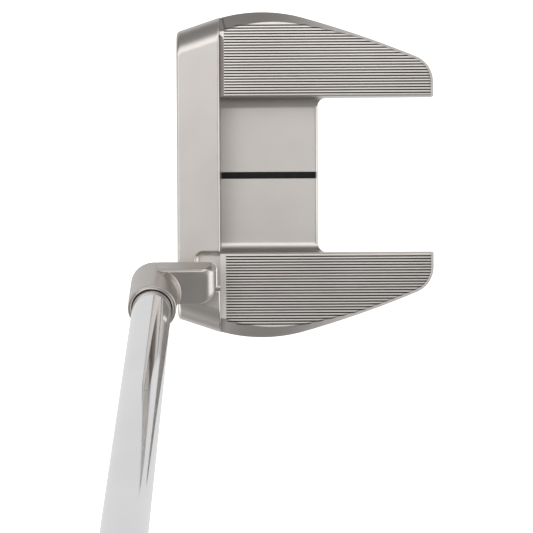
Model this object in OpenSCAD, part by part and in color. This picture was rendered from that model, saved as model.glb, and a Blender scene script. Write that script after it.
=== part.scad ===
// Right-handed wing-back mallet putter at address, heel toward +X and face toward -Y.
// The origin lies on the ground under the sight line, in the middle of the sole plate.

/* [Head] */
// Width of the head from heel to toe
head_w = 95; // [93:1:98]
// Height of the striking face
face_h = 25; // [24:0.5:27]
// Depth of the top bar from face to cavity
bar_d = 12.2; // [11.4:0.2:13]
// Height of the bar above the wing tops
bar_step = 2; // [1.5:0.25:3]
// Distance from the leading edge to the wing tips
head_d = 75.8; // [74:0.2:78]
// Width of the open centre between the wings
cavity_w = 45.6; // [44:0.4:46.8]
// Height of the cavity floor above the ground
floor_h = 8; // [7.5:0.5:9]
// Loft of the face in degrees
loft = 3; // [1:0.5:4]
// Distance between neighbouring top grooves
groove_pitch = 0.82; // [0.8:0.02:0.9]
// Depth of the top grooves
groove_deep = 0.4; // [0.2:0.1:0.6]

/* [Neck] */
// Angle between shaft and ground in degrees
lie = 70; // [69:0.5:72]
// Outside diameter of the hosel tube
hosel_od = 13.6; // [13:0.1:13.8]
// Height of the hosel rim above the ground, measured along the shaft
rim_s = 61.4; // [60.4:0.5:65.9]
// Thickness of the arm along the shaft
arm_t = 6.4; // [5.6:0.2:6.6]

/* [Shaft] */
// Outside diameter of the lower shaft
shaft_od = 11; // [10.6:0.1:11.2]
// Outside diameter of the shaft under the grip
butt_od = 14.6; // [14:0.1:15]
// Length of the club along the shaft from ground to cap
club_len = 863.6; // [838:1:890]

/* [Grip] */
// Length of the grip
grip_len = 266; // [240:2:280]
// Diameter of the grip at its butt end
grip_od = 26; // [25:0.5:29]
// Width of the material left outside the flat, from the shaft centre
flat_x = 9.6; // [9.2:0.2:10.5]

/* [Sole] */
// Thickness of the sole plate
plate_t = 3; // [2.8:0.1:3.2]
// Diameter of the weight heads
weight_od = 15.2; // [14.4:0.2:15.6]

/* [Hidden] */
$fn = 96;
// Upright levels
wing_z = face_h - bar_step;
body_z = 0.4;
seat_z = body_z + plate_t;
pocket_z = wing_z;
// Front to back stations
bar_back = -8.7;
face_top = bar_back - bar_d;
face_low = face_top - face_h * tan(loft);
tip_y = face_low + head_d;
floor_back = 20;
// Outline arcs of one wing: flank, rear run and tip corner
half_w = head_w / 2;
flank_r = 45;
flank_x = half_w - flank_r;
flank_y = 3.5;
turn_a = 15.7;
run_r = 296;
run_x = flank_x + (flank_r - run_r) * cos(turn_a);
run_y = flank_y + (flank_r - run_r) * sin(turn_a);
corner_r = 8;
corner_y = tip_y - corner_r;
corner_x = run_x + sqrt((run_r - corner_r) * (run_r - corner_r) - (corner_y - run_y) * (corner_y - run_y));
corner_a = atan2(corner_y - run_y, corner_x - run_x);
// Bar ends
end_a = 18.5;
end_back = half_w - 1.4;
end_front = end_back - (bar_back - face_top) * tan(end_a);
roll_r = 7;
// Cavity
wall_x = cavity_w / 2;
fillet_r = 3;
// Neck
axis_x = 16.3;
axis_y = face_top - shaft_od / 2 - 0.5;
hosel_r = hosel_od / 2;
shaft_r = shaft_od / 2;
elbow_s = rim_s - 18.7;
arm_s1 = elbow_s + 7.1;
arm_s0 = arm_s1 - arm_t;
arm_x0 = -hosel_r - 0.2;
arm_x1 = arm_x0 + 10.5;
arm_back = bar_back - 0.8 - axis_y;
flare = 1;
leg_x0 = 25.9;
leg_x1 = 33.3;
leg_top = 43;
leg_y0 = bar_back - 6.9;
leg_y1 = bar_back - 1.5;
bolt_x = (leg_x0 + leg_x1) / 2;
bolt_y = (leg_y0 + leg_y1) / 2;
// Weights
weight_x = 35;
weight_y = -1;
weight_r = weight_od / 2;
// Sole plate
plate_x = 24;
plate_y0 = -17.6;
plate_y1 = 7.6;
screw_x = 20;
screw_y0 = -13.6;
screw_y1 = 3.6;
// Grooves
groove_w = 0.42;
groove_x0 = wall_x + 0.95;
groove_n = floor((half_w - 3.8 - groove_x0) / groove_pitch) + 1;
groove_y0 = bar_back + 1.9;
strip_d = 1.35;
// Grip
butt_r = butt_od / 2;
tape_t = 0.15;
cap_t = 3;
grip_s1 = club_len - cap_t;
grip_s0 = grip_s1 - grip_len;

// Rectangle with round corners
module rrect(x0, y0, x1, y1, r) {
    translate([x0 + r, y0]) square([x1 - x0 - 2 * r, y1 - y0]);
    translate([x0, y0 + r]) square([x1 - x0, y1 - y0 - 2 * r]);
    for (x = [x0 + r, x1 - r])
        for (y = [y0 + r, y1 - r])
            translate([x, y]) circle(r);
}

// Head outline behind the bar, grown by g0 at the bottom and by g1 at the height h
module outline(h, g0, g1) {
    for (m = [0, 1])
        mirror([m, 0, 0]) {
            intersection() {
                translate([flank_x, flank_y, 0])
                    cylinder(h = h, r1 = flank_r + g0, r2 = flank_r + g1, $fn = 180);
                linear_extrude(h)
                    polygon([[0, bar_back - 1], [90, bar_back - 1],
                        [90, flank_y + (90 - flank_x) * tan(turn_a)], [0, flank_y - flank_x * tan(turn_a)]]);
            }
            intersection() {
                translate([run_x, run_y, 0])
                    cylinder(h = h, r1 = run_r + g0, r2 = run_r + g1, $fn = 720);
                linear_extrude(h)
                    polygon([[0, flank_y - flank_x * tan(turn_a)], [90, flank_y + (90 - flank_x) * tan(turn_a)],
                        [90, corner_y + (90 - corner_x) * tan(corner_a)], [0, corner_y - corner_x * tan(corner_a)]]);
            }
            intersection() {
                translate([corner_x, corner_y, 0])
                    cylinder(h = h, r1 = corner_r + g0, r2 = corner_r + g1);
                linear_extrude(h)
                    polygon([[corner_x, corner_y], [90, corner_y + (90 - corner_x) * tan(corner_a)],
                        [90, tip_y + 9], [corner_x, tip_y + 9]]);
            }
            rotate([90, 0, 90])
                linear_extrude(corner_x)
                    polygon([[bar_back - 1, 0], [tip_y + g0, 0], [tip_y + g1, h], [bar_back - 1, h]]);
        }
}

// Wings and floor before the cavity is cut
module wing_block() {
    intersection() {
        translate([0, 0, body_z]) outline(wing_z - body_z, 0, 0);
        union() {
            translate([0, 0, wing_z - 4.5]) rotate([3.2, 0, 0]) outline(7.6, 0.6, -7);
            translate([0, 0, wing_z - 4.5]) rotate([3.2, 0, 0]) translate([-60, -40, -40]) cube([120, 120, 40.1]);
        }
        union() {
            translate([0, 0, body_z]) outline(3.6, -3, 0.6);
            translate([-60, -40, body_z + 3.5]) cube([120, 120, 30]);
        }
    }
}

// Tool that rolls off one long edge at the end of the bar
module end_roll(r) {
    difference() {
        translate([-r, -20, 0]) cube([r + 9, 40, r + 9]);
        translate([-r, -21, 0]) rotate([-90, 0, 0]) cylinder(h = 42, r = r);
        translate([-r - 1, -21, -r]) cube([1, 42, 2 * r]);
    }
}

// Top bar with slanted ends, rolled shoulders and lofted face
module bar() {
    difference() {
        translate([0, 0, body_z])
            linear_extrude(face_h - body_z)
                polygon([[-end_front + 2, face_low - 3], [end_front - 2, face_low - 3],
                    [end_front, face_top], [end_back, bar_back],
                    [-end_back, bar_back], [-end_front, face_top]]);
        translate([-60, face_low, 0])
            rotate([-loft, 0, 0])
                translate([0, -20, -5]) cube([120, 20, 40]);
        translate([-60, face_low, body_z]) rotate([45, 0, 0]) translate([0, -2, -2]) cube([120, 4, 4]);
        for (m = [0, 1])
            mirror([m, 0, 0]) {
                translate([(end_front + end_back) / 2, (face_top + bar_back) / 2, face_h - roll_r])
                    rotate([0, 0, -end_a]) end_roll(roll_r);
                translate([(end_front + end_back) / 2, (face_top + bar_back) / 2, body_z + roll_r])
                    rotate([0, 0, -end_a]) mirror([0, 0, 1]) end_roll(roll_r);
            }
    }
}

// Open centre: floor with rounded sides, then the gap between the wings
module cavity() {
    translate([-wall_x + fillet_r, bar_back, floor_h]) cube([cavity_w - 2 * fillet_r, 90, 40]);
    translate([-wall_x, bar_back, floor_h + fillet_r]) cube([cavity_w, 90, 40]);
    for (s = [-1, 1])
        translate([s * (wall_x - fillet_r), bar_back, floor_h + fillet_r])
            rotate([-90, 0, 0]) cylinder(h = 90, r = fillet_r);
    translate([0, 0, -1]) linear_extrude(40) rrect(-wall_x, floor_back, wall_x, 90, 2.4);
    translate([3 - wall_x, floor_back - 0.6, floor_h]) rotate([45, 0, 0]) cube([cavity_w - 6, 3, 3]);
}

// Hollow under one wing
module wing_pocket() {
    intersection() {
        translate([0, 0, -1]) outline(wing_z - 2.2, -2.6, -2.6);
        translate([wall_x + 2.3, 9, -2]) cube([40, tip_y - 11.4, 40]);
    }
}

// Fine grooves along one wing top, rounded at the front
module grooves() {
    translate([0, 0, wing_z - groove_deep])
        linear_extrude(groove_deep + 3)
            for (i = [0 : groove_n - 1]) {
                translate([groove_x0 + i * groove_pitch - groove_w / 2, groove_y0]) square([groove_w, 90]);
                translate([groove_x0 + i * groove_pitch, groove_y0]) circle(groove_w / 2, $fn = 24);
            }
}

// Shallow strip on the toe wing that falls away toward the bar
module toe_strip() {
    translate([6 - end_back, 0, wing_z])
        rotate([90, 0, 90])
            linear_extrude(end_back - wall_x - 8) polygon([[bar_back, -0.5], [bar_back + strip_d, 0.02], [bar_back, 1]]);
}

// Threaded seat of one sole weight
module weight_seat() {
    translate([0, 0, -1]) cylinder(h = 4.5, r = weight_r + 0.3);
    translate([0, 0, 3]) cylinder(h = 13, r = 6.5);
    translate([0, 0, 15.9]) cylinder(h = 2, r1 = 6.5, r2 = 4.5);
}

module head_body() {
    color("silver")
        difference() {
            union() {
                wing_block();
                bar();
            }
            cavity();
            translate([-60, 0, 0])
                rotate([90, 0, 90])
                    linear_extrude(120) polygon([[9, -1], [22, 7.2], [70, 9.8], [70, -1]]);
            for (m = [0, 1])
                mirror([m, 0, 0]) {
                    wing_pocket();
                    grooves();
                    translate([weight_x, weight_y, 0]) weight_seat();
                    for (y = [screw_y0, screw_y1])
                        translate([screw_x, y, 0]) cylinder(h = 7.2, r = 1.5, $fn = 32);
                }
            toe_strip();
            translate([-0.95, bar_back, floor_h - 0.5]) cube([1.9, 40, 2]);
            translate([0, 0, -1])
                linear_extrude(seat_z + 1)
                    rrect(-plate_x - 0.1, plate_y0 - 0.1, plate_x + 0.1, plate_y1 + 0.1, 3.1);
            translate([0, 0, seat_z - 1]) linear_extrude(18) rrect(-16.5, -17.2, 16.5, -11.2, 2);
            translate([0, 0, pocket_z])
                linear_extrude(9)
                    intersection() {
                        rrect(leg_x0 - 3.6, leg_y0 - 0.4, leg_x1 + 0.2, bar_back + 9, 2.4);
                        translate([0, bar_back - 20]) square([60, 20]);
                    }
            translate([bolt_x, bolt_y, -1]) cylinder(h = 40, r = 2.2, $fn = 48);
            translate([bolt_x, bolt_y, -1]) cylinder(h = 6, r = 3.8, $fn = 48);
            translate([bolt_x, bolt_y, pocket_z - 8]) cylinder(h = 20, r = 2.9, $fn = 48);
        }
}

module sight_line() {
    color("black") translate([-0.95, bar_back, floor_h - 0.5]) cube([1.9, floor_back - bar_back - 0.6, 0.45]);
}

// Everything on the shaft is drawn upright and then leaned to the lie angle
module on_shaft() {
    translate([axis_x, axis_y, 0]) rotate([0, 90 - lie, 0]) children();
}

module neck() {
    color("silver")
        difference() {
            union() {
                on_shaft() {
                    translate([0, 0, elbow_s + 0.8]) cylinder(h = rim_s - elbow_s - 0.8, r = hosel_r);
                    translate([0, 0, elbow_s]) cylinder(h = 0.81, r1 = hosel_r - 0.8, r2 = hosel_r);
                    translate([0, 0, arm_s0])
                        linear_extrude(arm_t) {
                            translate([arm_x0, 1]) square([arm_x1 - arm_x0, arm_back - 5]);
                            rrect(arm_x0, 2, arm_x1, arm_back, 3.4);
                        }
                    intersection() {
                        translate([0, 0, arm_s1 - 0.01]) cylinder(h = 2.2, r1 = hosel_r + flare, r2 = hosel_r);
                        translate([arm_x0, 1, arm_s0]) cube([arm_x1 - arm_x0, 12, 12]);
                    }
                }
                translate([0, 0, pocket_z]) linear_extrude(leg_top - pocket_z) rrect(leg_x0, leg_y0, leg_x1, leg_y1, 1.6);
                translate([bolt_x, bolt_y, pocket_z - 7.6]) cylinder(h = 9, r = 2.8, $fn = 48);
            }
            on_shaft() {
                translate([0, 0, rim_s - 18]) cylinder(h = 30, r = shaft_r + 0.15);
                translate([0, 0, rim_s - 0.6]) cylinder(h = 0.61, r1 = shaft_r + 0.15, r2 = shaft_r + 0.75);
                translate([0, arm_back - 3, arm_s1 - 3])
                    difference() {
                        translate([-20, 0, 0]) cube([40, 9, 9]);
                        rotate([0, 90, 0]) translate([0, 0, -21]) cylinder(h = 42, r = 3);
                    }
            }
            translate([bolt_x, bolt_y, pocket_z - 9]) cylinder(h = 12, r = 2, $fn = 48);
        }
}

module neck_bolt() {
    color("dimgray")
        difference() {
            union() {
                translate([bolt_x, bolt_y, 1]) cylinder(h = 4, r = 3.5, $fn = 48);
                translate([bolt_x, bolt_y, 4.9]) cylinder(h = pocket_z - 3.4, r = 2, $fn = 48);
            }
            translate([bolt_x, bolt_y, 0]) cylinder(h = 3.5, r = 1.73, $fn = 6);
        }
}

module shaft_bond() {
    color("peru")
        on_shaft()
            difference() {
                union() {
                    translate([0, 0, rim_s - 17.9]) cylinder(h = 17.5, r = shaft_r + 0.15);
                    translate([0, 0, rim_s - 0.6]) cylinder(h = 0.45, r1 = shaft_r + 0.15, r2 = shaft_r + 0.6);
                }
                translate([0, 0, rim_s - 19]) cylinder(h = 30, r = shaft_r);
            }
}

module shaft() {
    color("gainsboro")
        on_shaft()
            rotate_extrude()
                polygon([[shaft_r - 0.5, rim_s - 17.9], [shaft_r, rim_s - 17.9], [shaft_r, 230], [butt_r, grip_s0 - 20],
                    [butt_r, grip_s1], [butt_r - 0.5, grip_s1], [butt_r - 0.5, grip_s0 - 20], [shaft_r - 0.5, 230]]);
}

module sole_plate() {
    color("lightgray")
        difference() {
            linear_extrude(plate_t + body_z) rrect(-plate_x, plate_y0, plate_x, plate_y1, 3);
            for (x = [-screw_x, screw_x])
                for (y = [screw_y0, screw_y1])
                    translate([x, y, 0]) {
                        translate([0, 0, -1]) cylinder(h = 9, r = 1.6, $fn = 32);
                        translate([0, 0, -0.01]) cylinder(h = 0.41, r = 3, $fn = 48);
                        translate([0, 0, 0.4]) cylinder(h = 1.4, r1 = 3, r2 = 1.6, $fn = 48);
                    }
        }
}

module sole_screw(x, y) {
    color("dimgray")
        translate([x, y, 0])
            difference() {
                union() {
                    translate([0, 0, 0.3]) cylinder(h = 0.11, r = 2.9, $fn = 48);
                    translate([0, 0, 0.4]) cylinder(h = 1.4, r1 = 2.9, r2 = 1.5, $fn = 48);
                    translate([0, 0, 1.8]) cylinder(h = 5, r = 1.5, $fn = 32);
                }
                translate([0, 0, 0]) cylinder(h = 1.7, r = 1.15, $fn = 6);
            }
}

module weight(x) {
    color("gray")
        translate([x, weight_y, 0])
            difference() {
                union() {
                    translate([0, 0, 0.5]) cylinder(h = 0.5, r1 = weight_r - 0.5, r2 = weight_r);
                    translate([0, 0, 0.99]) cylinder(h = 1.31, r = weight_r);
                    translate([0, 0, 2.2]) cylinder(h = 6.6, r = 6.2);
                    translate([0, 0, 8.79]) cylinder(h = 0.6, r1 = 6.2, r2 = 5.6);
                }
                translate([0, 0, 0]) cylinder(h = 4.5, r = 2.9, $fn = 6);
            }
}

module o_ring(x) {
    color("black")
        translate([x, weight_y, 2.9])
            rotate_extrude() translate([7.05, 0]) circle(0.58, $fn = 24);
}

module heel_weight() weight(weight_x);

module toe_weight() weight(-weight_x);

module heel_o_ring() o_ring(weight_x);

module toe_o_ring() o_ring(-weight_x);

module grip_tape() {
    color("ivory")
        on_shaft()
            difference() {
                translate([0, 0, grip_s0 + 2]) cylinder(h = grip_len - 4, r = butt_r + tape_t);
                translate([0, 0, grip_s0]) cylinder(h = grip_len, r = butt_r);
            }
}

module grip() {
    color("black")
        on_shaft()
            difference() {
                rotate_extrude()
                    polygon([[butt_r + tape_t, grip_s0], [9.2, grip_s0], [9.8, grip_s0 + 3], [11.4, grip_s0 + 60],
                        [grip_od / 2 - 0.4, grip_s1 - 90], [grip_od / 2, grip_s1 - 20], [grip_od / 2, grip_s1],
                        [butt_r + tape_t, grip_s1]]);
                translate([-30 - flat_x, -30, grip_s0 - 1]) cube([30, 60, grip_len + 2]);
            }
}

module grip_cap() {
    color("darkslategray")
        on_shaft()
            difference() {
                union() {
                    translate([0, 0, grip_s1 + 0.01]) cylinder(h = 1.6, r = grip_od / 2);
                    translate([0, 0, grip_s1 + 1.6]) cylinder(h = cap_t - 1.6, r1 = grip_od / 2, r2 = grip_od / 2 - 1.4);
                    translate([0, 0, grip_s1 - 8]) cylinder(h = 9, r = butt_r - 0.6);
                }
                translate([0, 0, grip_s1 - 9]) cylinder(h = 20, r = 1, $fn = 24);
                translate([-30 - flat_x, -30, grip_s1 - 20]) cube([30, 60, 40]);
            }
}

head_body();
sight_line();
neck();
neck_bolt();
shaft_bond();
shaft();
sole_plate();
sole_screw(screw_x, screw_y0);  // sole_screw_1
sole_screw(screw_x, screw_y1);  // sole_screw_2
sole_screw(-screw_x, screw_y0);  // sole_screw_3
sole_screw(-screw_x, screw_y1);  // sole_screw_4
heel_weight();
toe_weight();
heel_o_ring();
toe_o_ring();
grip_tape();
grip();
grip_cap();
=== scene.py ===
"""Looks of the wing-back mallet putter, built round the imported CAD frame."""

import math

import bmesh
import bpy
import numpy as np
from mathutils import Matrix, Vector


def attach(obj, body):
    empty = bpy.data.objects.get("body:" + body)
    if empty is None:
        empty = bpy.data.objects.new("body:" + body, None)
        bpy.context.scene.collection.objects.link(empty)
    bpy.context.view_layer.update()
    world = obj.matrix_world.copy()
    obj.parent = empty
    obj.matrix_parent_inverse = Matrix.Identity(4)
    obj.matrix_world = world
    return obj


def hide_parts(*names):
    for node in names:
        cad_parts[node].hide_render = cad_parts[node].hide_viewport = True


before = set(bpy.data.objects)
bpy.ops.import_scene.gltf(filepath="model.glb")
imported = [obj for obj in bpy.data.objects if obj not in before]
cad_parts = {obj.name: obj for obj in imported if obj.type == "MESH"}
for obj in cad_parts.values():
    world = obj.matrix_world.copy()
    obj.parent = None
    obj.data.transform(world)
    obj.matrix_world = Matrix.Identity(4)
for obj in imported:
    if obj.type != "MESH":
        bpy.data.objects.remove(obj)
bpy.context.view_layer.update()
MM = 0.001

# ---------------------------------------------------------------- sizes, in mm, as in the CAD model
HALF_W = 47.5
FACE_H = 25.0
WING_Z = 23.0
BODY_Z = 0.4
BAR_BACK = -8.7
WING_FRONT = BAR_BACK - 0.15
FACE_TOP = -20.9
LOFT = math.radians(3)
FACE_LOW = FACE_TOP - FACE_H * math.tan(LOFT)
TIP_Y = FACE_LOW + 75.8
FLOOR_Z = 8.0
FLOOR_BACK = 20.0
WALL_X = 22.8
FLANK_R = 45.0
FLANK = (HALF_W - FLANK_R, 3.5)
TURN = math.radians(15.7)
RUN_R = 296.0
RUN = (
    FLANK[0] + (FLANK_R - RUN_R) * math.cos(TURN),
    FLANK[1] + (FLANK_R - RUN_R) * math.sin(TURN),
)
CORNER_R = 8.0
CORNER_Y = TIP_Y - CORNER_R
CORNER_X = RUN[0] + math.sqrt((RUN_R - CORNER_R) ** 2 - (CORNER_Y - RUN[1]) ** 2)
CORNER_A = math.atan2(CORNER_Y - RUN[1], CORNER_X - RUN[0])
END_A = math.radians(18.5)
END_BACK = HALF_W - 1.4
END_FRONT = END_BACK - (BAR_BACK - FACE_TOP) * math.tan(END_A)
LIE = math.radians(70)
AXIS = (16.3, -26.9)
HOSEL_R = 6.8
SHAFT_R = 5.5
RIM_S = 61.4
ELBOW_S = RIM_S - 18.7
ARM_S = (ELBOW_S + 0.7, ELBOW_S + 7.1)
ARM_X = (-7.0, 3.5)
ARM_BACK = BAR_BACK - 0.8 - AXIS[1]
FLARE = 1.0
LEG_TOP = 43.0
LEG = (25.9, BAR_BACK - 6.9, 33.3, BAR_BACK - 1.5)
BOLT = ((LEG[0] + LEG[2]) / 2, (LEG[1] + LEG[3]) / 2)
WEIGHT = (35.0, -1.0)
WEIGHT_R = 7.6
PLATE = (-24.0, -17.6, 24.0, 7.6)
PLATE_T = 3.4
SCREWS = ((20.0, -13.6), (20.0, 3.6), (-20.0, -13.6), (-20.0, 3.6))
GROOVE_P = 0.82
GROOVE_X0 = WALL_X + 0.95
GROOVE_N = 25
CLUB_LEN = 863.6
BUTT_R = 7.3
GRIP_S1 = CLUB_LEN - 3
GRIP_S0 = GRIP_S1 - 266
GRIP_R = 13.0
FLAT_X = 9.6


# ---------------------------------------------------------------- mesh tools
def on_shaft(points):
    """Points drawn along an upright shaft, leaned to the lie angle."""
    p = np.asarray(points, float)
    c, s = math.sin(LIE), math.cos(LIE)
    return np.stack(
        [AXIS[0] + p[:, 0] * c + p[:, 2] * s, AXIS[1] + p[:, 1], -p[:, 0] * s + p[:, 2] * c], 1
    )


def build(name, verts, faces):
    """An object from points in millimetres."""
    me = bpy.data.meshes.new(name)
    me.from_pydata([tuple(v) for v in np.asarray(verts, float) * MM], [], faces)
    me.update()
    ob = bpy.data.objects.new(name, me)
    bpy.context.scene.collection.objects.link(ob)
    return ob


def loft(rings, closed=True):
    """A closed solid through rings of equal length, bottom first, anticlockwise from above."""
    n = len(rings[0])
    verts = np.concatenate(rings)
    faces = []
    for k in range(len(rings) - 1):
        a, b = k * n, (k + 1) * n
        for i in range(n):
            j = (i + 1) % n
            faces.append((a + i, a + j, b + j, b + i))
    if closed:
        faces.append(tuple(range(n - 1, -1, -1)))
        top = (len(rings) - 1) * n
        faces.append(tuple(range(top, top + n)))
    return verts, faces


def lathe(profile, segments=96):
    """A closed (radius, height) profile turned about Z. A radius of zero closes the solid."""
    verts, faces, rows = [], [], []
    for r, z in profile:
        if r < 1e-9:
            rows.append([len(verts)])
            verts.append((0, 0, z))
        else:
            rows.append(list(range(len(verts), len(verts) + segments)))
            for i in range(segments):
                a = 2 * math.pi * i / segments
                verts.append((r * math.cos(a), r * math.sin(a), z))
    ring = len(profile) if profile[0][0] > 1e-9 else len(profile) - 1
    for k in range(ring):
        a, b = rows[k], rows[(k + 1) % len(rows)]
        for i in range(segments):
            j = (i + 1) % segments
            if len(a) == 1:
                faces.append((a[0], b[j], b[i]))
            elif len(b) == 1:
                faces.append((a[i], a[j], b[0]))
            else:
                faces.append((a[i], a[j], b[j], b[i]))
    return np.array(verts, float), faces


def shifted(mesh, dx=0.0, dy=0.0, dz=0.0):
    return mesh[0] + np.array([dx, dy, dz]), mesh[1]


def join(meshes):
    verts, faces, base = [], [], 0
    for v, f in meshes:
        verts.append(v)
        faces.extend(tuple(i + base for i in face) for face in f)
        base += len(v)
    return np.concatenate(verts), faces


def mirrored(mesh):
    """The same solid on the other side of X = 0."""
    v = mesh[0] * np.array([-1, 1, 1])
    return v, [tuple(reversed(f)) for f in mesh[1]]


def both(mesh):
    return join([mesh, mirrored(mesh)])


def round_poly(corners, radii, steps=8):
    """A closed anticlockwise outline with rounded corners; the radii don't change the count of points."""
    out = []
    n = len(corners)
    for i in range(n):
        p = np.array(corners[i], float)
        a = np.array(corners[i - 1], float) - p
        b = np.array(corners[(i + 1) % n], float) - p
        a /= np.linalg.norm(a)
        b /= np.linalg.norm(b)
        r = max(radii[i], 1e-3)
        half = math.acos(max(-1, min(1, float(a @ b)))) / 2
        t = r / math.tan(half)
        centre = p + (a + b) / np.linalg.norm(a + b) * (r / math.sin(half))
        u, v = p + a * t - centre, p + b * t - centre
        a0, a1 = math.atan2(u[1], u[0]), math.atan2(v[1], v[0])
        d = (a1 - a0 + math.pi) % (2 * math.pi) - math.pi
        for k in range(steps + 1):
            q = a0 + d * k / steps
            out.append(centre + r * np.array([math.cos(q), math.sin(q)]))
    return np.array(out)


def flat_ring(xy, z):
    return np.column_stack([xy, np.full(len(xy), z)])


def rect(x0, y0, x1, y1, r, grow=0.0, steps=8):
    c = [(x0 - grow, y0 - grow), (x1 + grow, y0 - grow), (x1 + grow, y1 + grow), (x0 - grow, y1 + grow)]
    return round_poly(c, [max(r + grow, 0.01)] * 4, steps)


def prism_y(profile, y0, y1):
    """A solid with an (x, z) profile, anticlockwise seen from -Y, between two stations."""
    p = np.asarray(profile, float)
    n = len(p)
    verts = np.concatenate([np.column_stack([p[:, 0], np.full(n, y), p[:, 1]]) for y in (y0, y1)])
    faces = [(i, (i + 1) % n, n + (i + 1) % n, n + i) for i in range(n)]
    faces += [tuple(range(n - 1, -1, -1)), tuple(range(n, 2 * n))]
    return verts, [tuple(reversed(f)) for f in faces]


def prism_x(profile, x0, x1):
    """A solid with a (y, z) profile, anticlockwise seen from +X, between two stations."""
    p = np.asarray(profile, float)
    n = len(p)
    verts = np.concatenate([np.column_stack([np.full(n, x), p]) for x in (x0, x1)])
    faces = [(i, (i + 1) % n, n + (i + 1) % n, n + i) for i in range(n)]
    faces += [tuple(range(n - 1, -1, -1)), tuple(range(n, 2 * n))]
    return verts, faces


def arc(cx, cy, r, a0, a1, steps):
    t = np.radians(np.linspace(a0, a1, steps + 1))
    return [(cx + r * math.cos(a), cy + r * math.sin(a)) for a in t]


def outward(ob):
    """Makes the normals of a closed mesh point outward."""
    bm = bmesh.new()
    bm.from_mesh(ob.data)
    bmesh.ops.recalc_face_normals(bm, faces=bm.faces)
    if bm.calc_volume(signed=True) < 0:
        bmesh.ops.reverse_faces(bm, faces=bm.faces)
    bm.to_mesh(ob.data)
    bm.free()


def carve(ob, mesh, op="DIFFERENCE"):
    """Applies one boolean with a tool given as points and faces."""
    tool = build("tool", *mesh)
    outward(tool)
    mod = ob.modifiers.new("carve", "BOOLEAN")
    mod.operation = op
    mod.solver = "MANIFOLD"
    mod.object = tool
    graph = bpy.context.evaluated_depsgraph_get()
    done = bpy.data.meshes.new_from_object(ob.evaluated_get(graph))
    ob.modifiers.clear()
    old = ob.data
    ob.data = done
    bpy.data.meshes.remove(old)
    bpy.data.objects.remove(tool)
    return ob


def polish(ob, angle=32.0, weld=0.002):
    """Smooth shading with sharp edges above an angle, and flats that stay flat."""
    bm = bmesh.new()
    bm.from_mesh(ob.data)
    bmesh.ops.remove_doubles(bm, verts=bm.verts, dist=weld * MM)
    bmesh.ops.dissolve_degenerate(bm, edges=bm.edges, dist=weld * MM * 0.5)
    bm.to_mesh(ob.data)
    bm.free()
    for p in ob.data.polygons:
        p.use_smooth = True
    ob.data.set_sharp_from_angle(angle=math.radians(angle))
    mod = ob.modifiers.new("flats", "WEIGHTED_NORMAL")
    mod.keep_sharp = True
    mod.weight = 50
    return ob


def dress(ob, material, body, *nodes):
    """Gives a piece its material and body, and hides the CAD nodes that it stands for."""
    ob.data.materials.clear()
    ob.data.materials.append(material)
    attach(ob, body)
    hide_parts(*nodes)
    return ob


# ---------------------------------------------------------------- materials
class Nodes:
    """A short way to write a node tree."""

    def __init__(self, name):
        self.mat = bpy.data.materials.new(name)
        self.mat.use_nodes = True
        self.tree = self.mat.node_tree
        self.tree.nodes.clear()
        self.out = self.add("ShaderNodeOutputMaterial")
        self.bsdf = self.add("ShaderNodeBsdfPrincipled")
        self.link(self.bsdf, "BSDF", self.out, "Surface")
        self.place = self.add("ShaderNodeTexCoord")

    def add(self, kind, **inputs):
        node = self.tree.nodes.new(kind)
        for key, value in inputs.items():
            node.inputs[key.replace("_", " ")].default_value = value
        return node

    def link(self, a, out, b, into):
        self.tree.links.new(a.outputs[out], b.inputs[into])

    def noise(self, scale, detail=4.0, rough=0.55, stretch=None):
        node = self.add("ShaderNodeTexNoise", Scale=scale, Detail=detail, Roughness=rough)
        if stretch:
            mapping = self.add("ShaderNodeMapping", Scale=stretch)
            self.link(self.place, "Object", mapping, "Vector")
            self.link(mapping, "Vector", node, "Vector")
        else:
            self.link(self.place, "Object", node, "Vector")
        return node

    def ramp(self, source, out, stops):
        node = self.add("ShaderNodeValToRGB")
        e = node.color_ramp.elements
        while len(e) < len(stops):
            e.new(0.5)
        for i, (pos, col) in enumerate(stops):
            e[i].position = pos
            e[i].color = (*col, 1) if len(col) == 3 else col
        self.link(source, out, node, "Fac")
        return node

    def span(self, source, out, low, high):
        """Maps 0..1 of a value to low..high."""
        node = self.add("ShaderNodeMapRange")
        node.inputs["To Min"].default_value = low
        node.inputs["To Max"].default_value = high
        self.link(source, out, node, "Value")
        return node

    def bump(self, source, out, strength, distance, normal=None):
        node = self.add("ShaderNodeBump", Strength=strength, Distance=distance)
        self.link(source, out, node, "Height")
        if normal:
            self.link(*normal, node, "Normal")
        return node


def metal(name, low, high, rough, grain, grain_mm, edge=0.0, stretch=None, aniso=0.0):
    """Metal with cloudy colour, fine blasted grain and softly rounded edges."""
    m = Nodes(name)
    cloud = m.noise(38.0, 3.0)
    tint = m.ramp(cloud, "Fac", [(0.35, low), (0.65, high)])
    m.link(tint, "Color", m.bsdf, "Base Color")
    m.bsdf.inputs["Metallic"].default_value = 1.0
    patch = m.noise(160.0, 5.0)
    r = m.span(patch, "Fac", rough - 0.05, rough + 0.05)
    m.link(r, "Result", m.bsdf, "Roughness")
    if aniso:
        m.bsdf.inputs["Anisotropic"].default_value = aniso
    grit = m.noise(1.0 / (grain_mm * MM), 2.0, 0.6, stretch)
    normal = None
    if edge:
        bevel = m.add("ShaderNodeBevel", Radius=edge * MM)
        bevel.samples = 6
        normal = (bevel, "Normal")
    bump = m.bump(grit, "Fac", grain, 0.02 * MM, normal)
    m.link(bump, "Normal", m.bsdf, "Normal")
    return m.mat


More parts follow.
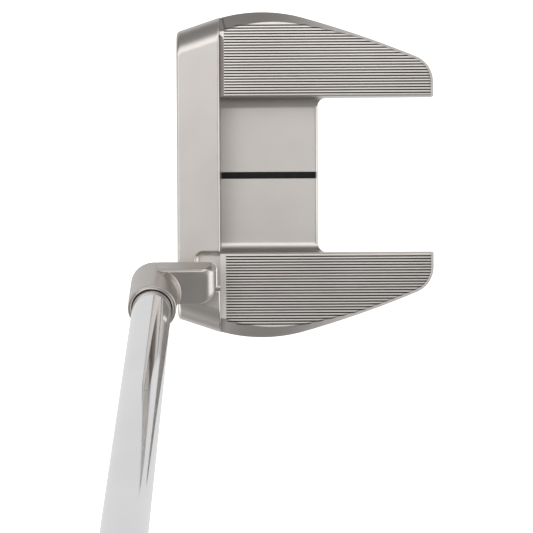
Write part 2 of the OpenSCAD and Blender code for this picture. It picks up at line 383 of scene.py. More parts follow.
def rubber(name, colour, bump_mm, scale):
    m = Nodes(name)
    cloud = m.noise(60.0, 4.0)
    dark = tuple(c * 0.75 for c in colour)
    tint = m.ramp(cloud, "Fac", [(0.3, dark), (0.7, colour)])
    m.link(tint, "Color", m.bsdf, "Base Color")
    patch = m.noise(220.0, 3.0)
    r = m.span(patch, "Fac", 0.55, 0.72)
    m.link(r, "Result", m.bsdf, "Roughness")
    m.bsdf.inputs["Specular IOR Level"].default_value = 0.35
    m.bsdf.inputs["Sheen Weight"].default_value = 0.08
    grit = m.noise(scale, 3.0)
    bump = m.bump(grit, "Fac", 0.5, bump_mm * MM)
    m.link(bump, "Normal", m.bsdf, "Normal")
    return m.mat


# the head is one steel: its strip and grooves are painted darker as shade, and its lands lighter as a
# highlight
STEEL = metal("blasted_steel", (0.56, 0.53, 0.50), (0.60, 0.57, 0.54), 0.33, 0.08, 0.12)
CHROME = metal("polished_chrome", (0.80, 0.80, 0.81), (0.84, 0.84, 0.85), 0.07, 0.02, 2.0)
STRIP_SHADE = metal("strip_painted_shade", (0.33, 0.31, 0.30), (0.37, 0.35, 0.34), 0.33, 0.08, 0.12)
LAND_HIGHLIGHT = metal("land_painted_highlight", (0.72, 0.69, 0.65), (0.77, 0.74, 0.70), 0.33, 0.08, 0.12)
GROOVE_SHADE = metal("groove_painted_shade", (0.045, 0.034, 0.028), (0.06, 0.047, 0.04), 0.4, 0.1, 0.3)
PLATE_AL = metal("blasted_aluminium", (0.50, 0.49, 0.48), (0.56, 0.55, 0.54), 0.42, 0.3, 0.2, 0.25)
DARK_STEEL = metal("black_oxide_steel", (0.10, 0.098, 0.095), (0.15, 0.145, 0.14), 0.38, 0.2, 0.3, 0.12)
TURNED = metal("turned_steel", (0.60, 0.59, 0.57), (0.68, 0.67, 0.65), 0.24, 0.1, 0.4, 0.15, None, 0.3)


def paint():
    m = Nodes("sight_paint")
    cloud = m.noise(500.0, 3.0)
    tint = m.ramp(cloud, "Fac", [(0.3, (0.002, 0.002, 0.0025)), (0.7, (0.008, 0.008, 0.009))])
    m.link(tint, "Color", m.bsdf, "Base Color")
    r = m.span(m.noise(900.0, 2.0), "Fac", 0.3, 0.45)
    m.link(r, "Result", m.bsdf, "Roughness")
    m.bsdf.inputs["Specular IOR Level"].default_value = 0.2
    bump = m.bump(m.noise(1500.0, 2.0), "Fac", 0.2, 0.02 * MM)
    m.link(bump, "Normal", m.bsdf, "Normal")
    return m.mat


def epoxy():
    m = Nodes("cured_adhesive")
    tint = m.ramp(m.noise(700.0, 3.0), "Fac", [(0.3, (0.05, 0.03, 0.018)), (0.7, (0.10, 0.06, 0.035))])
    m.link(tint, "Color", m.bsdf, "Base Color")
    r = m.span(m.noise(400.0), "Fac", 0.25, 0.5)
    m.link(r, "Result", m.bsdf, "Roughness")
    bump = m.bump(m.noise(1200.0), "Fac", 0.4, 0.05 * MM)
    m.link(bump, "Normal", m.bsdf, "Normal")
    return m.mat


def paper():
    m = Nodes("tape_paper")
    tint = m.ramp(m.noise(300.0, 5.0), "Fac", [(0.3, (0.60, 0.57, 0.48)), (0.7, (0.72, 0.69, 0.60))])
    m.link(tint, "Color", m.bsdf, "Base Color")
    r = m.span(m.noise(500.0), "Fac", 0.75, 0.9)
    m.link(r, "Result", m.bsdf, "Roughness")
    bump = m.bump(m.noise(2500.0, 4.0), "Fac", 0.3, 0.03 * MM)
    m.link(bump, "Normal", m.bsdf, "Normal")
    return m.mat


PAINT = paint()
EPOXY = epoxy()
PAPER = paper()
GRIP_RUBBER = rubber("grip_rubber", (0.022, 0.022, 0.024), 0.08, 1400.0)
CAP_RUBBER = rubber("cap_rubber", (0.016, 0.016, 0.017), 0.04, 900.0)
SEAL_RUBBER = rubber("seal_rubber", (0.012, 0.012, 0.012), 0.01, 900.0)


# ---------------------------------------------------------------- head
def band_width(y):
    """Width of the bevel along a wing's outer edge."""
    return 1.04 + 2.86 * max(0.0, (32.0 - y) / 37.5)


def side_points():
    """One side's outline from the bar to the tip: position and outward normal."""
    pts = []
    a0 = -math.asin((FLANK[1] - WING_FRONT) / FLANK_R)
    for a in np.linspace(a0, TURN, 40):
        pts.append(
            (FLANK[0] + FLANK_R * math.cos(a), FLANK[1] + FLANK_R * math.sin(a), math.cos(a), math.sin(a))
        )
    for a in np.linspace(TURN, CORNER_A, 30)[1:]:
        pts.append((RUN[0] + RUN_R * math.cos(a), RUN[1] + RUN_R * math.sin(a), math.cos(a), math.sin(a)))
    for a in np.linspace(CORNER_A, math.pi / 2, 20)[1:]:
        pts.append(
            (CORNER_X + CORNER_R * math.cos(a), CORNER_Y + CORNER_R * math.sin(a), math.cos(a), math.sin(a))
        )
    return np.array(pts)


def wing_ring(z, share, extra=0.0):
    """Outline of both wings and the middle at a height: share is how far up the bevel it is."""
    p = side_points()
    inset = np.array([band_width(y) for y in p[:, 1]]) * share + extra
    x = p[:, 0] - p[:, 2] * inset
    y = p[:, 1] - p[:, 3] * inset
    y[0] = WING_FRONT
    right = np.column_stack([x, y])
    left = right[::-1] * np.array([-1, 1])
    return flat_ring(np.concatenate([right, left]), z)


def wing_block():
    bevel_h = 3.2
    rows = [
        (BODY_Z, 0.0, 3.0),
        (BODY_Z + 0.3, 0.0, 2.6),
        (BODY_Z + 2.6, 0.0, 0.3),
        (BODY_Z + 3.0, 0.0, 0.06),
        (BODY_Z + 3.5, 0.0, 0.0),
        (WING_Z - bevel_h - 0.35, 0.0, 0.0),
        (WING_Z - bevel_h - 0.1, 0.01, 0.0),
        (WING_Z - bevel_h + 0.15, 0.06, 0.0),
        (WING_Z - 0.22, 0.93, 0.0),
        (WING_Z - 0.07, 0.985, 0.04),
        (WING_Z, 1.0, 0.20),
    ]
    return loft([wing_ring(z, s, e) for z, s, e in rows])


def bar_ring(z, front, back, end):
    """Outline of the bar at a height, each side moved in by its own amount."""
    y0 = FACE_LOW + z * math.tan(LOFT) + front
    y1 = BAR_BACK - back
    slope = math.tan(END_A)
    shift = end / math.cos(END_A)
    x0 = END_FRONT + (y0 - FACE_TOP) * slope - shift
    x1 = END_FRONT + (y1 - FACE_TOP) * slope - shift
    corners = [(-x0, y0), (x0, y0), (x1, y1), (-x1, y1)]
    return flat_ring(round_poly(corners, [1.3, 1.3, 0.35, 0.35], 8), z)


def bar():
    top, bottom = 7.0, 6.0
    levels = set()
    for k in range(33):
        q = math.radians(90 * k / 32)
        levels.add(round(FACE_H - top * (1 - math.cos(q)), 4))
        if k % 2 == 0:
            levels.add(round(BODY_Z + bottom * (1 - math.cos(q)), 4))
    for k in range(9):
        q = math.radians(90 * k / 8)
        levels.add(round(FACE_H - 0.6 * (1 - math.cos(q)), 4))
        levels.add(round(BODY_Z + 1.6 * (1 - math.cos(q)), 4))
    rings = []
    for z in sorted(levels):
        up, down = FACE_H - z, z - BODY_Z

        def rounded(depth, r):
            return 0.0 if depth >= r else r - math.sqrt(max(r * r - (r - depth) ** 2, 0))

        front = rounded(up, 0.45) + rounded(down, 1.6)
        back = rounded(up, 0.6)
        end = rounded(up, top) + rounded(down, bottom)
        rings.append(bar_ring(z, front, back, end))
    return loft(rings)


def cavity():
    """Space over the floor, with round lower corners and an eased upper lip."""
    r, lip = 3.0, 0.4
    half = arc(WALL_X - r, FLOOR_Z + r, r, -90, 0, 12)
    half += [
        (WALL_X + lip - lip * math.cos(q), WING_Z - lip + lip * math.sin(q))
        for q in np.linspace(0, math.pi / 2, 6)
    ]
    half += [(WALL_X + lip, 40.0)]
    profile = half + [(-x, z) for x, z in reversed(half)]
    return prism_y(profile, BAR_BACK - 0.01, 80.0)


def gap():
    """Space between the wings behind the floor."""
    lip = 0.4
    rings = [flat_ring(rect(-WALL_X, FLOOR_BACK, WALL_X, 90.0, 2.4), -5.0)]
    for q in np.linspace(0, math.pi / 2, 6):
        g = lip - lip * math.cos(q)
        rings.append(
            flat_ring(rect(-WALL_X, FLOOR_BACK, WALL_X, 90.0, 2.4, g), WING_Z - lip + lip * math.sin(q))
        )
    rings.append(flat_ring(rect(-WALL_X, FLOOR_BACK, WALL_X, 90.0, 2.4, lip), 40.0))
    return loft(rings)


def floor_edge():
    """Rounds the rear edge of the floor."""
    r = 0.9
    profile = [
        (FLOOR_BACK - r + r * math.sin(q), FLOOR_Z - r + r * math.cos(q))
        for q in np.linspace(0, math.pi / 2, 9)
    ]
    profile += [(FLOOR_BACK + 1, FLOOR_Z - r), (FLOOR_BACK + 1, FLOOR_Z + 1), (FLOOR_BACK - r, FLOOR_Z + 1)]
    return prism_x([*reversed(profile)], -WALL_X + 2.4, WALL_X - 2.4)


def sight_groove():
    w, lip, deep = 0.95, 0.14, 0.5
    half = [(w, FLOOR_Z - deep), (w, FLOOR_Z - lip)]
    half += [
        (w + lip - lip * math.cos(q), FLOOR_Z - lip + lip * math.sin(q))
        for q in np.linspace(0, math.pi / 2, 4)[1:]
    ]
    half += [(w + lip, FLOOR_Z + 1)]
    return prism_y(half + [(-x, z) for x, z in reversed(half)], BAR_BACK + 0.02, 30.0)


def groove_tools(side):
    """All the grooves of one wing."""
    start = BAR_BACK + (1.3 if side < 0 else 1.55)
    tools = []
    for i in range(GROOVE_N):
        x = side * (GROOVE_X0 + i * GROOVE_P)
        rings = []
        for z, w in (
            (-0.42, 0.13), (-0.34, 0.165), (-0.05, 0.18), (-0.012, 0.19), (0.0, 0.205), (1.5, 0.205),
        ):
            pts = arc(x, start + 0.2, w, 180, 360, 8) + [(x + w, 80.0), (x - w, 80.0)]
            rings.append(flat_ring(np.array(pts), WING_Z + z))
        tools.append(loft(rings))
    return join(tools)


def strip_tool():
    """Strip on the toe wing that falls away toward the bar, with a scooped outer end."""
    y0, y1 = BAR_BACK - 0.02, BAR_BACK + 1.35
    rings = []
    for x, k in (
        (-40.9, 0.02), (-40.6, 0.3), (-40.2, 0.65), (-39.7, 0.9), (-39.2, 1.0), (-WALL_X + 2.0, 1.0),
    ):
        z0 = WING_Z - 0.85 * k
        rings.append(np.array([
            (x, y0, z0), (x, y0 + (y1 - y0) * k, WING_Z + 0.02), (x, y1, WING_Z + 1), (x, y0, WING_Z + 1),
        ]))
    return loft(rings)


def neck_pocket():
    """Recess round the foot of the neck: filleted floor and eased lip."""
    x0, y0, x1, y1 = LEG[0] - 3.6, LEG[1] - 0.4, LEG[2] + 0.2, BAR_BACK + 6.0
    r, lip, z0 = 1.4, 0.45, WING_Z
    rings = []
    for q in np.linspace(0, math.pi / 2, 8):
        rings.append(flat_ring(rect(x0, y0, x1, y1, 2.4, -r * (1 - math.sin(q))), z0 + r * (1 - math.cos(q))))
    for q in np.linspace(0, math.pi / 2, 6):
        rings.append(
            flat_ring(rect(x0, y0, x1, y1, 2.4, lip * (1 - math.cos(q))), FACE_H - lip + lip * math.sin(q))
        )
    rings.append(flat_ring(rect(x0, y0, x1, y1, 2.4, lip), FACE_H + 3))
    return loft(rings)


def hole(x, y, rows, segments=64):
    """A stepped round hole from (height, radius) rows, bottom first."""
    ring = lambda r: np.array([
        (r * math.cos(a), r * math.sin(a)) for a in np.arange(segments) * 2 * math.pi / segments
    ])
    return shifted(loft([flat_ring(ring(r), z) for z, r in rows]), x, y)


def wing_pocket():
    p = side_points()
    keep = p[p[:, 1] > 9.0]
    x = keep[:, 0] - keep[:, 2] * 2.6
    y = keep[:, 1] - keep[:, 3] * 2.6
    ok = (y > 9.5) & (y < TIP_Y - 3.0) & (x > WALL_X + 3.3)
    outer = list(zip(x[ok], y[ok]))
    x0 = WALL_X + 2.3
    corners = [(x0, 9.0), (outer[0][0], 9.0)] + outer + [(x0, outer[-1][1])]
    pts = np.array(corners)
    return loft([flat_ring(pts, -2.0), flat_ring(pts, 19.4)])


def head_body():
    ob = build("head_body", *wing_block())
    outward(ob)
    carve(ob, bar(), "UNION")
    carve(ob, cavity())
    carve(ob, gap())
    carve(ob, floor_edge())
    ramp = [(9.0, -1.0), (9.6, 0.25), (22.0, 7.2), (70.0, 9.8), (70.0, -1.0)]
    carve(ob, prism_x([*reversed(ramp)], -60.0, 60.0))
    carve(ob, both(wing_pocket()))
    carve(ob, strip_tool())
    carve(ob, join([groove_tools(1), groove_tools(-1)]))
    carve(ob, neck_pocket())
    carve(ob, sight_groove())
    plate = [
        flat_ring(rect(*PLATE, 3.0, 0.1 + g), z)
        for z, g in ((-1.0, 0.3), (BODY_Z, 0.3), (BODY_Z + 0.3, 0.0), (PLATE_T + BODY_Z, 0.0))
    ]
    carve(ob, loft(plate))
    carve(ob, loft([flat_ring(rect(-16.5, -17.2, 16.5, -11.2, 2.0), z) for z in (2.4, 20.4)]))
    seat = [(-1.0, 8.3), (BODY_Z, 8.3), (BODY_Z + 0.4, 7.9), (3.5, 7.9)]
    seat += [(3.5001, 6.5), (16.0, 6.5), (18.0, 4.5)]
    carve(ob, both(hole(*WEIGHT, seat)))
    carve(ob, join([hole(x, y, [(2.0, 1.5), (7.2, 1.5)], 32) for x, y in SCREWS]))
    carve(ob, hole(*BOLT, [
        (-1.0, 4.1), (BODY_Z, 4.1), (BODY_Z + 0.3, 3.8), (5.0, 3.8),
        (5.0001, 2.2), (15.0, 2.2), (15.0001, 2.9), (24.0, 2.9),
    ], 48))
    polish(ob)
    dress(ob, STEEL, "club", "head_body")
    # extra slots: painted shade for the grooves and the toe strip, painted highlight for the flat wing tops
    ob.data.materials.append(GROOVE_SHADE)
    ob.data.materials.append(LAND_HIGHLIGHT)
    ob.data.materials.append(STRIP_SHADE)
    for p in ob.data.polygons:
        x, y, z = p.center / MM
        # the sloped face of the toe strip gets the darker painted shade
        if (
            x < -WALL_X and BAR_BACK - 0.1 < y < BAR_BACK + 1.5
            and 0.5 < p.normal.z < 0.99 and WING_Z - 1 < z < WING_Z
        ):
            p.material_index = 3
        if abs(x) < WALL_X + 0.5 or y < BAR_BACK + 1.2:
            continue
        # groove walls and bottoms get the near-black painted shade
        if WING_Z - 0.5 < z < WING_Z - 0.1 and near_groove(p):
            p.material_index = 1
        # the flat wing tops get the lighter painted highlight
        if abs(z - WING_Z) < 0.01 and p.normal.z > 0.99:
            p.material_index = 2
    return ob


def near_groove(polygon):
    """True for a wall or the bottom of a groove."""
    n = polygon.normal
    return n.z > 0.9 or abs(n.x) > 0.8 and abs(n.y) < 0.3


def sight_line():
    z0, z1 = FLOOR_Z - 0.5, FLOOR_Z - 0.07
    rings = []
    for z, g in ((z0, 0.0), (z1 - 0.05, 0.0), (z1, -0.08)):
        rings.append(flat_ring(rect(-0.95, BAR_BACK + 0.02, 0.95, FLOOR_BACK - 0.6, 0.02, g), z))
    ob = build("sight_line", *loft(rings))
    outward(ob)
    polish(ob)
    return dress(ob, PAINT, "club", "sight_line")


# ---------------------------------------------------------------- neck and shaft
def ease(depth, r):
    """How far a rounded edge of radius r lies inside its corner at a depth below it."""
    return 0.0 if depth >= r else r - math.sqrt(max(r * r - (r - depth) ** 2, 0.0))


def chamfer_line(size, r):
    """Inset against depth of a chamfer whose two edges are rounded, from the top down."""
    t = r * math.tan(math.radians(22.5))
    rows = []
    for q in np.radians(np.linspace(0, 45, 6)):
        rows.append((r * (1 - math.cos(q)), size + t - r * math.sin(q)))
    return rows + [(inset, depth) for depth, inset in reversed(rows)]


CHAMFER = chamfer_line(0.65, 0.22)


def arm():
    """The arm of the neck: a flat block across the shaft with a rolled rear end."""
    low, high = ARM_S
    t = high - low
    levels = {0.0, t}
    for r, n in ((0.25, 9), (3.1, 17)):
        for q in np.linspace(0, math.pi / 2, n):
            levels.add(round(t - r * (1 - math.cos(q)), 4))
    for depth, inset in CHAMFER:
        levels.add(round(t - depth, 4))
    for q in np.linspace(0, math.pi / 2, 5):
        levels.add(round(0.5 * (1 - math.cos(q)), 4))
    rings = []
    for s in sorted(levels):
        up = t - s
        under = ease(s, 0.5)
        toe = float(np.interp(up, *zip(*CHAMFER))) + under
        heel = ease(up, 0.25) + under
        back = ease(up, 3.1) + under
        x0, x1, y1 = ARM_X[0] + toe, ARM_X[1] - heel, ARM_BACK - back
        corners = [(x0, 1.0), (x1, 1.0), (x1, y1), (x0, y1)]
        rings.append(flat_ring(round_poly(corners, [0.01, 0.01, 3.4, 2.0], 12), low + s))
    v, f = loft(rings)
    return on_shaft(v), f


def flare():
    """Fillet between the tube and the flat of the arm, cut to the arm's width."""
    edge, r = HOSEL_R + FLARE, 0.28
    profile = [(0.0, ARM_S[1] - 1.0), (edge, ARM_S[1] - 1.0)]
    profile += [
        (edge - r * math.sin(q), ARM_S[1] + r * (1 - math.cos(q)))
        for q in np.radians(np.linspace(0, 62, 7))
    ]
    profile += [(HOSEL_R + 0.02, ARM_S[1] + 2.2), (0.0, ARM_S[1] + 2.2)]
    ob = build("flare", *lathe(profile, 128))
    outward(ob)
    x0, x1 = ARM_X[0] + 0.66, ARM_X[1] - 0.1
    sides = np.array([(x0, 1.0), (x1, 1.0), (x1, 12.0), (x0, 12.0)])
    carve(ob, loft([flat_ring(sides, ARM_S[1] - 1.5), flat_ring(sides, ARM_S[1] + 3.0)]), "INTERSECT")
    v = np.array([tuple(p.co) for p in ob.data.vertices]) / MM
    f = [tuple(p.vertices) for p in ob.data.polygons]
    bpy.data.objects.remove(ob)
    return on_shaft(v), f


def tube():
    r, b = HOSEL_R, 0.8
    profile = [(0.0, ELBOW_S)]
    profile += [
        (r - b + b * math.sin(q), ELBOW_S + b - b * math.cos(q)) for q in np.linspace(0, math.pi / 2, 8)
    ]
    e = 0.28
    profile += [
        (r - e + e * math.cos(q), RIM_S - e + e * math.sin(q)) for q in np.linspace(0, math.pi / 2, 7)
    ]
    profile += [(0.0, RIM_S)]
    v, f = lathe(profile)
    return on_shaft(v), f


def bore():
    wall, r = SHAFT_R + 0.15, 0.5
    profile = [(0.0, RIM_S - 18), (wall, RIM_S - 18)]
    profile += [
        (wall + r - r * math.cos(q), RIM_S - r + r * math.sin(q)) for q in np.linspace(0, math.pi / 2, 8)
    ]
    profile += [(wall + r, RIM_S + 5), (0.0, RIM_S + 5)]
    v, f = lathe(profile)
    return on_shaft(v), f


def leg():
    r = 0.9
    rings = []
    for q in np.linspace(0, math.pi / 2, 7):
        g = r * (1 - math.sin(q))
        rings.append(flat_ring(rect(*LEG, 1.6, g), WING_Z - 0.05 + r * (1 - math.cos(q))))
    rings.append(flat_ring(rect(*LEG, 1.6, 0.0), LEG_TOP))
    return loft(rings)


def neck():
    ob = build("neck", *arm())
    outward(ob)
    carve(ob, tube(), "UNION")
    carve(ob, flare(), "UNION")
    carve(ob, leg(), "UNION")
    carve(ob, hole(*BOLT, [(WING_Z - 7.6, 2.8), (WING_Z + 1.4, 2.8)], 48), "UNION")
    carve(ob, bore())
    carve(ob, hole(*BOLT, [(WING_Z - 9, 2.0), (WING_Z + 3, 2.0)], 48))
    polish(ob)
    return dress(ob, STEEL, "club", "neck")


def turned(name, profile, material, body, node, shaft_frame=True, segments=96, at=(0, 0)):
    v, f = lathe(profile, segments)
    ob = build(name, on_shaft(v) if shaft_frame else v + np.array([at[0], at[1], 0]), f)
    outward(ob)
    polish(ob)
    return dress(ob, material, body, node)


def shaft():
    r, w = SHAFT_R, 0.5
    profile = [(r - w, RIM_S - 17.9), (r, RIM_S - 17.9), (r, 90.0), (r + 0.06, 150.0), (r + 0.12, 230.0)]
    profile += [
        (BUTT_R, GRIP_S0 - 20), (BUTT_R, GRIP_S1), (BUTT_R - w, GRIP_S1), (BUTT_R - w, GRIP_S0 - 20),
        (r - w, 230.0),
    ]
    return turned("shaft", profile, CHROME, "club", "shaft", segments=160)


def shaft_bond():
    r = SHAFT_R
    profile = [(r, RIM_S - 17.9), (r + 0.14, RIM_S - 17.9), (r + 0.14, RIM_S - 0.75), (r, RIM_S - 0.65)]
    return turned("shaft_bond", profile, EPOXY, "club", "shaft_bond")


def grip_section(r, n=96):
    """A round section with a flat front and softened flanks."""
    t = np.arange(n) * 2 * math.pi / n
    x, y = r * np.cos(t), r * np.sin(t)
    limit = -FLAT_X + 0.02
    k = 0.5
    soft = limit + k * np.log1p(np.exp(np.clip((x - limit) / k, -40, 40)))
    return np.column_stack([np.maximum(soft, limit), y])


def grip():
    rows = [(GRIP_S0, 9.1), (GRIP_S0 + 0.5, 9.25), (GRIP_S0 + 3, 9.75), (GRIP_S0 + 3.6, 9.85)]
    n = 60
    for k in range(n + 1):
        t = k / n
        s = GRIP_S0 + 6 + t * (266 - 10)
        r = 9.9 + (GRIP_R - 0.05 - 9.9) * (3 * t * t - 2 * t**3) ** 0.8
        rows.append((s, r))
    rows += [(GRIP_S1 - 0.6, GRIP_R), (GRIP_S1, GRIP_R - 0.1)]
    outer = [flat_ring(grip_section(r), s) for s, r in rows]
    t = np.arange(96) * 2 * math.pi / 96
    inner = [
        flat_ring((BUTT_R + 0.15) * np.column_stack([np.cos(t), np.sin(t)]), s) for s in (GRIP_S1, GRIP_S0)
    ]
    rings = outer + inner
    v, f = loft(rings, closed=False)
    m = 96
    last = (len(rings) - 1) * m
    f += [(last + i, last + (i + 1) % m, (i + 1) % m, i) for i in range(m)]
    ob = build("grip", on_shaft(v), f)
    outward(ob)
    polish(ob, 40)
    return dress(ob, GRIP_RUBBER, "club", "grip")


def grip_cap():
    rows = [(GRIP_S1 + 0.02, GRIP_R - 0.1), (GRIP_S1 + 0.3, GRIP_R), (GRIP_S1 + 1.4, GRIP_R)]
    rows += [
        (GRIP_S1 + 1.5 + 1.45 * math.sin(q), GRIP_R - 1.4 + 1.4 * math.cos(q))
        for q in np.linspace(0.1, math.pi / 2, 8)
    ]
    ob = build("grip_cap", *(lambda m: (on_shaft(m[0]), m[1]))(
        loft([flat_ring(grip_section(r), s) for s, r in rows])
    ))
    outward(ob)
    v, f = lathe([
        (0.0, GRIP_S1 - 8), (BUTT_R - 0.6, GRIP_S1 - 8), (BUTT_R - 0.6, GRIP_S1 + 1), (0.0, GRIP_S1 + 1),
    ])
    carve(ob, (on_shaft(v), f), "UNION")
    v, f = lathe([
        (0.0, GRIP_S1 - 10), (1.0, GRIP_S1 - 10), (1.0, GRIP_S1 + 2.6), (1.4, GRIP_S1 + 6),
        (0.0, GRIP_S1 + 6),
    ], 32)
    carve(ob, (on_shaft(v), f))
    polish(ob)
    return dress(ob, CAP_RUBBER, "club", "grip_cap")


def grip_tape():
    r, t = BUTT_R, 0.15
    profile = [(r, GRIP_S0 + 2), (r + t, GRIP_S0 + 2), (r + t, GRIP_S1 - 2), (r, GRIP_S1 - 2)]
    return turned("grip_tape", profile, PAPER, "club", "grip_tape")


# ---------------------------------------------------------------- sole
def hex_tool(x, y, r, z0, z1):
    pts = np.array([(r * math.cos(a), r * math.sin(a)) for a in np.arange(6) * math.pi / 3])
    return shifted(loft([flat_ring(pts, z0), flat_ring(pts, z1)]), x, y)


def sole_plate():
    rows = [(0.0, -0.35), (0.08, -0.15), (0.25, -0.02), (0.4, 0.0), (PLATE_T, 0.0)]
    ob = build("sole_plate", *loft([flat_ring(rect(*PLATE, 3.0, g), z) for z, g in rows]))
    outward(ob)
    holes = [
        hole(x, y, [(-1.0, 3.2), (0.0, 3.2), (0.15, 3.0), (0.4, 3.0), (1.8, 1.6), (5.0, 1.6)], 48)
        for x, y in SCREWS
    ]
    carve(ob, join(holes))
    polish(ob)
    return dress(ob, PLATE_AL, "club", "sole_plate")


def sole_screw(i):
    x, y = SCREWS[i]
    v, f = lathe([(0.0, 0.3), (2.75, 0.3), (2.9, 0.42), (1.5, 1.8), (1.5, 6.8), (0.0, 6.8)], 64)
    ob = build(f"sole_screw_{i + 1}", v + np.array([x, y, 0]), f)
    outward(ob)
    carve(ob, hex_tool(x, y, 1.15, -0.5, 1.7))
    polish(ob)
    return dress(ob, DARK_STEEL, "club", f"sole_screw_{i + 1}")


def neck_bolt():
    top = WING_Z + 1.5
    v, f = lathe([
        (0.0, 1.0), (3.2, 1.0), (3.5, 1.3), (3.5, 5.0), (2.0, 5.0), (2.0, top - 0.4), (1.6, top), (0.0, top),
    ], 64)
    ob = build("neck_bolt", v + np.array([*BOLT, 0]), f)
    outward(ob)
    carve(ob, hex_tool(*BOLT, 1.73, -0.5, 3.5))
    polish(ob)
    return dress(ob, DARK_STEEL, "club", "neck_bolt")


def sole_weight(side, name):
    x = side * WEIGHT[0]
    r = WEIGHT_R
    profile = [
        (0.0, 0.5), (r - 0.55, 0.5), (r - 0.25, 0.6), (r, 0.9), (r, 2.3),
        (6.2, 2.3), (6.2, 8.8), (5.6, 9.38), (0.0, 9.38),
    ]
    v, f = lathe(profile, 96)
    ob = build(name, v + np.array([x, WEIGHT[1], 0]), f)
    outward(ob)
    carve(ob, hex_tool(x, WEIGHT[1], 2.9, -0.5, 4.5))
    groove = lathe([(4.6, 0.3), (5.0, 0.3), (5.0, 0.75), (4.6, 0.75)], 96)
    carve(ob, shifted(groove, x, WEIGHT[1]))
    polish(ob)
    return dress(ob, TURNED, "heel_plug" if side > 0 else "toe_plug", name)


def o_ring(side, name):
    profile = [(7.05 + 0.58 * math.cos(q), 2.9 + 0.58 * math.sin(q)) for q in np.arange(16) * math.pi / 8]
    body = "heel_seal" if side > 0 else "toe_seal"
    return turned(name, profile, SEAL_RUBBER, body, name, False, 96, (side * WEIGHT[0], WEIGHT[1]))


head_body()
sight_line()
neck()
shaft()
shaft_bond()
neck_bolt()
sole_plate()
for i in range(4):
    sole_screw(i)
sole_weight(1, "heel_weight")
sole_weight(-1, "toe_weight")
o_ring(1, "heel_o_ring")
o_ring(-1, "toe_o_ring")
grip_tape()
grip()
grip_cap()

# ---------------------------------------------------------------- stage, light and camera
plane = bpy.data.meshes.new("floor")
size = 4.0
plane.from_pydata(
    [(-size, -size, -0.0002), (size, -size, -0.0002), (size, size, -0.0002), (-size, size, -0.0002)],
    [],
    [(0, 1, 2, 3)],
)
floor = bpy.data.objects.new("floor", plane)
bpy.context.scene.collection.objects.link(floor)
# the floor glows, so it looks white and shows no shadow; glossy rays miss it and see the world below
m = Nodes("pale_floor")
m.bsdf.inputs["Base Color"].default_value = (0.5, 0.5, 0.5, 1)
m.bsdf.inputs["Roughness"].default_value = 0.9
m.bsdf.inputs["Specular IOR Level"].default_value = 0.0
m.bsdf.inputs["Emission Color"].default_value = (1, 1, 1, 1)
m.bsdf.inputs["Emission Strength"].default_value = 1.1
floor.data.materials.append(m.mat)
floor.visible_glossy = False

world = bpy.data.worlds.new("studio")
bpy.context.scene.world = world
world.use_nodes = True
tree = world.node_tree
tree.nodes.clear()


def wnode(kind, **values):
    n = tree.nodes.new(kind)
    for k, v in values.items():
        setattr(n, k, v)
    return n


def wlink(a, ao, b, bi):
    tree.links.new(a.outputs[ao], b.inputs[bi])


coord = wnode("ShaderNodeTexCoord")


def soft_light(polar, around, full, fade, strength):
    """A soft round light: its degrees from straight up, and round from the heel toward the rear."""
    t, f = math.radians(polar), math.radians(around)
    dot = wnode("ShaderNodeVectorMath", operation="DOT_PRODUCT")
    wlink(coord, "Generated", dot, 0)
    dot.inputs[1].default_value = (math.sin(t) * math.cos(f), math.sin(t) * math.sin(f), math.cos(t))
    angle = wnode("ShaderNodeMath", operation="ARCCOSINE")
    wlink(dot, "Value", angle, 0)
    edge = wnode("ShaderNodeMapRange", interpolation_type="SMOOTHSTEP")
    edge.inputs["From Min"].default_value = math.radians(fade)
    edge.inputs["From Max"].default_value = math.radians(full)
    edge.inputs["To Max"].default_value = strength
    wlink(angle, "Value", edge, "Value")
    return edge


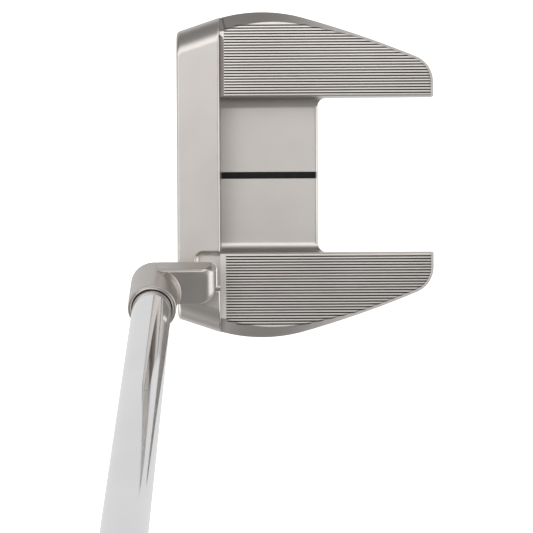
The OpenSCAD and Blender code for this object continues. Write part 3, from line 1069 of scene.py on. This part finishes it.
room = [
    soft_light(20, 190, 10, 25, 1.5),  # overhead, a little toward the toe
    soft_light(30, 270, 10, 25, 2.0),  # high in front of the face
    soft_light(45, 150, 10, 30, 1.0),  # high behind the toe
    soft_light(75, 80, 20, 45, 1.5),  # behind
    soft_light(85, 300, 20, 45, 1.5),  # in front of the heel
    soft_light(180, 0, 45, 80, 0.5),  # from below: seen only in reflections, in place of the floor
    soft_light(0, 0, 179, 180, 0.3),  # even light from the whole room
]
light = room[0]
out_name = "Result"
for source in room[1:]:
    both_lights = wnode("ShaderNodeMath", operation="ADD")
    wlink(light, out_name, both_lights, 0)
    wlink(source, "Result", both_lights, 1)
    light, out_name = both_lights, "Value"
background = wnode("ShaderNodeBackground")
wlink(light, "Value", background, "Color")
background.inputs["Strength"].default_value = 1.0
# the camera sees an even pale backdrop in place of the lights
pale = wnode("ShaderNodeBackground")
pale.inputs["Color"].default_value = (0.95, 0.95, 0.95, 1)
path = wnode("ShaderNodeLightPath")
mix = wnode("ShaderNodeMixShader")
out = wnode("ShaderNodeOutputWorld")
wlink(path, "Is Camera Ray", mix, "Fac")
wlink(background, "Background", mix, 1)
wlink(pale, "Background", mix, 2)
wlink(mix, "Shader", out, "Surface")


# the camera looks down on the head; its place, and how far it is turned from looking straight down,
# were fitted to the edges in the photograph
CAM = Vector((6.6, 10.0, 750.4)) * MM
FOCAL_PX, FRAME_PX, SENSOR_MM = 2500.0, 533.0, 36.0
TILT, SWING, ROLL = (math.radians(a) for a in (1.579, -0.416, 0.285))
data = bpy.data.cameras.new("camera")
data.sensor_width = SENSOR_MM
data.lens = FOCAL_PX / FRAME_PX * SENSOR_MM
data.clip_start = 0.01
data.clip_end = 20.0
camera = bpy.data.objects.new("camera", data)
bpy.context.scene.collection.objects.link(camera)
right, down, ahead = Vector((0, 1, 0)), Vector((1, 0, 0)), Vector((0, 0, -1))
down, ahead = down * math.cos(TILT) - ahead * math.sin(TILT), down * math.sin(TILT) + ahead * math.cos(TILT)
right, ahead = (
    right * math.cos(SWING) - ahead * math.sin(SWING),
    right * math.sin(SWING) + ahead * math.cos(SWING),
)
right, down = right * math.cos(ROLL) + down * math.sin(ROLL), down * math.cos(ROLL) - right * math.sin(ROLL)
basis = Matrix((right, -down, -ahead)).transposed()
camera.matrix_world = Matrix.Translation(CAM) @ basis.to_4x4()
bpy.context.scene.camera = camera
bpy.context.scene.view_settings.view_transform = "Standard"
bpy.context.scene.view_settings.look = "None"
